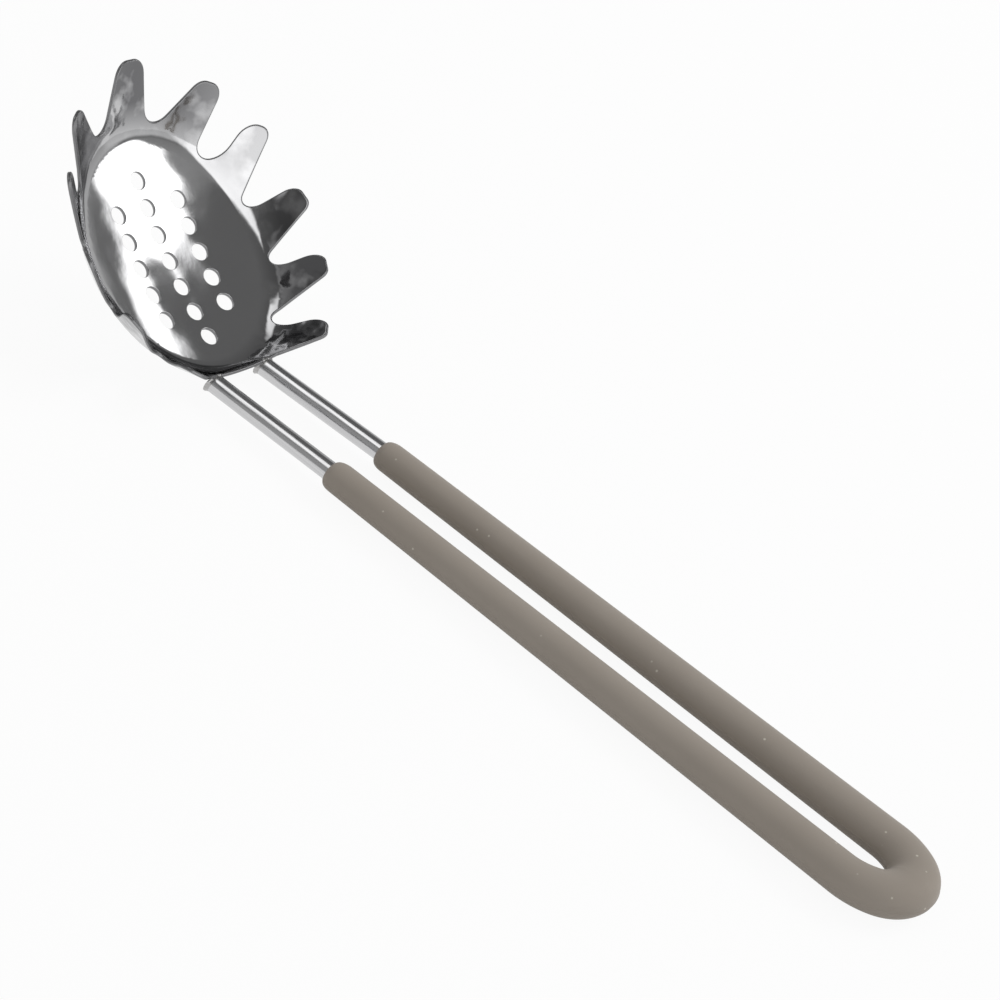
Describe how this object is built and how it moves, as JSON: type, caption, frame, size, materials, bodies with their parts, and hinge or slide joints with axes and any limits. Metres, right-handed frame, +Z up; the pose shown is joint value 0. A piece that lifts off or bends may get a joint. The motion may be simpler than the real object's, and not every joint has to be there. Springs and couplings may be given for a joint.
{
  "type": "pasta server",
  "caption": "Serving tool with a slotted steel bowl ringed by prongs, on a handle bent from one steel rod, with a soft moulded grip.",
  "frame": {"origin": "on the surface that the server lies on, below the middle of its overall length and width", "axes": "+X from the bowl along the handle to the grip's bend, +Y across the handle, +Z up from the surface"},
  "size_m": [0.3268, 0.088, 0.0729],
  "materials": {
    "bowl_steel": "mirror-polished stainless steel",
    "rod_steel": "polished drawn stainless steel rod with faint lengthwise lines",
    "grip_silicone": "matte taupe silicone",
    "weld_steel": "ground and polished weld"
  },
  "bodies": {
    "root": {"strainer_bowl": "bowl_steel", "handle_rod": "rod_steel", "grip_sleeve": "grip_silicone", "left_weld": "weld_steel", "right_weld": "weld_steel"}
  },
  "joints": []
}
